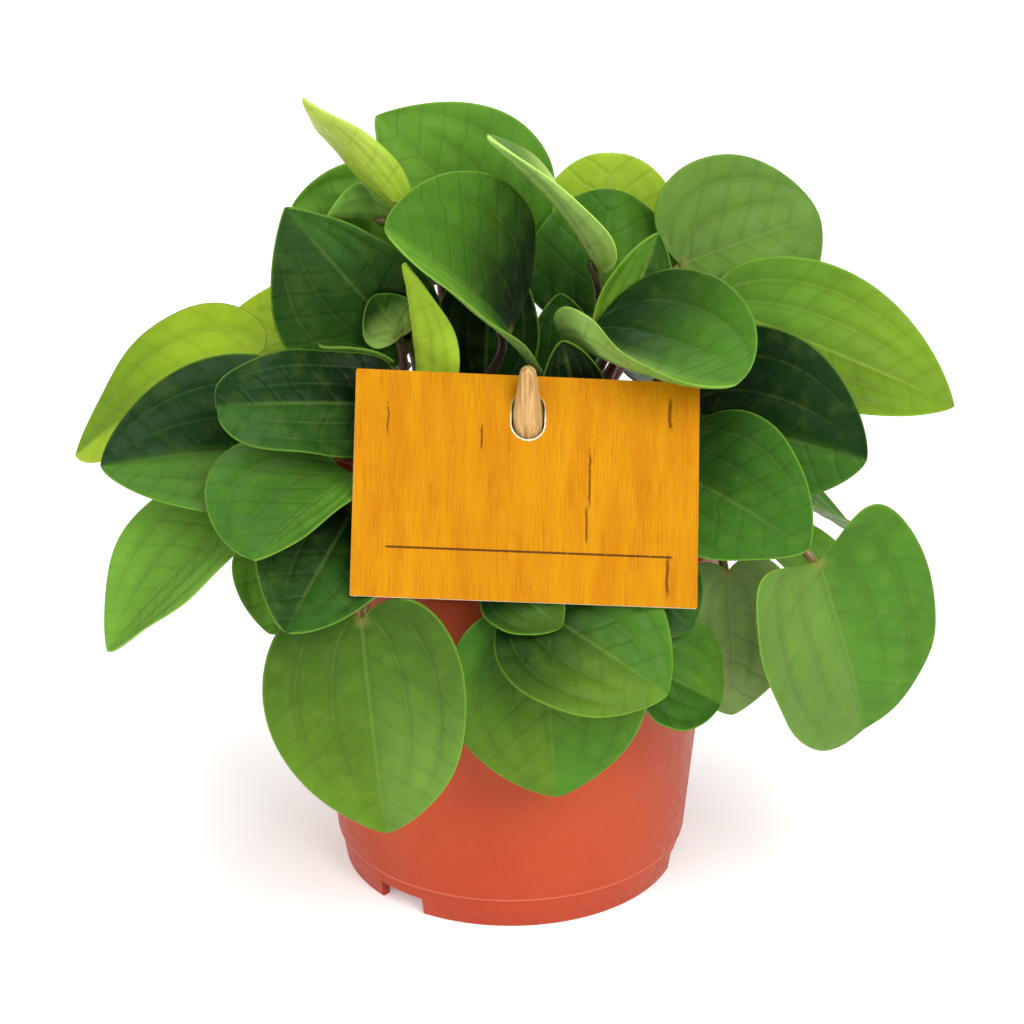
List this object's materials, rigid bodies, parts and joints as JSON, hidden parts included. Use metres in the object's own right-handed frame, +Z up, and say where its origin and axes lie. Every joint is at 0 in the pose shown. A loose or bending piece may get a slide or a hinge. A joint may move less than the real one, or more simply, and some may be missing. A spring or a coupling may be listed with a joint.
{
  "type": "potted peperomia",
  "caption": "Leafy house plant with thick pointed leaves on reddish stalks in a round plastic nursery pot, with a plain card on a wooden pin.",
  "frame": {"origin": "middle of the whole plant's outline, at the surface that the pot stands on", "axes": "+Z up, the card and the viewer at -Y, +X to the viewer's right"},
  "size_m": [0.2374, 0.1831, 0.2282],
  "materials": {
    "pot": "satin terracotta plastic",
    "soil": "loose moist potting soil of peat and bark",
    "pin": "bare turned pale wood",
    "card": "printed card with a satin coat",
    "stems": "fleshy reddish stems and stalks",
    "leaves": "thick waxy dark green leaf",
    "pale_leaves": "young or backlit yellow-green leaf"
  },
  "bodies": {
    "root": {"pot": "pot", "soil": "soil", "label_pin": "pin", "label_card": "card", "stem_left": "stems", "stem_right": "stems", "stem_back_left": "stems", "stem_back_right": "stems", "stem_front": "stems", "leaf_left_pale_outer": "pale_leaves", "leaf_left_pale_inner": "pale_leaves", "leaf_left_folded": "leaves", "leaf_left_wavy": "leaves", "leaf_left_front": "leaves", "leaf_left_long_droop": "leaves", "leaf_left_low_behind": "leaves", "leaf_front_left_dark": "leaves", "leaf_front_left_hanging": "leaves", "leaf_front_centre_hanging": "leaves", "leaf_front_centre_curled": "leaves", "leaf_front_right_round": "leaves", "leaf_front_right_folded": "leaves", "leaf_right_grey_hanging": "leaves", "leaf_right_big_hanging": "leaves", "leaf_right_front": "leaves", "leaf_right_dark": "leaves", "leaf_inner_right_dark": "leaves", "leaf_right_pale_outer": "pale_leaves", "leaf_right_round_upright": "leaves", "leaf_front_right_boat": "leaves", "leaf_back_pale_round": "pale_leaves", "leaf_back_dark_round": "leaves", "leaf_centre_young_streaked": "pale_leaves", "leaf_centre_narrow_edge": "leaves", "leaf_top_large": "leaves", "leaf_centre_glossy": "leaves", "leaf_front_small_behind_pin": "leaves", "leaf_centre_yellow_narrow": "pale_leaves", "leaf_left_dark_upright": "leaves", "leaf_left_small_grey": "leaves", "leaf_left_small_edge": "leaves", "leaf_top_left_pale_pointed": "pale_leaves", "leaf_top_left_dark": "leaves", "leaf_top_left_rolled": "leaves", "leaf_front_right_tucked": "leaves", "leaf_back_left_low": "leaves", "leaf_back_low": "leaves", "leaf_back_right_low": "leaves", "leaf_back_left_middle": "leaves", "leaf_back_middle": "leaves", "leaf_back_right_middle": "leaves", "leaf_back_top_left": "leaves", "leaf_back_top": "leaves", "leaf_back_right_upper": "leaves", "leaf_side_left_low": "leaves", "leaf_side_right_low": "leaves", "leaf_back_top_right": "leaves", "leaf_inner_left_dark": "leaves", "leaf_back_centre": "leaves", "leaf_side_right_front": "leaves"}
  },
  "joints": []
}
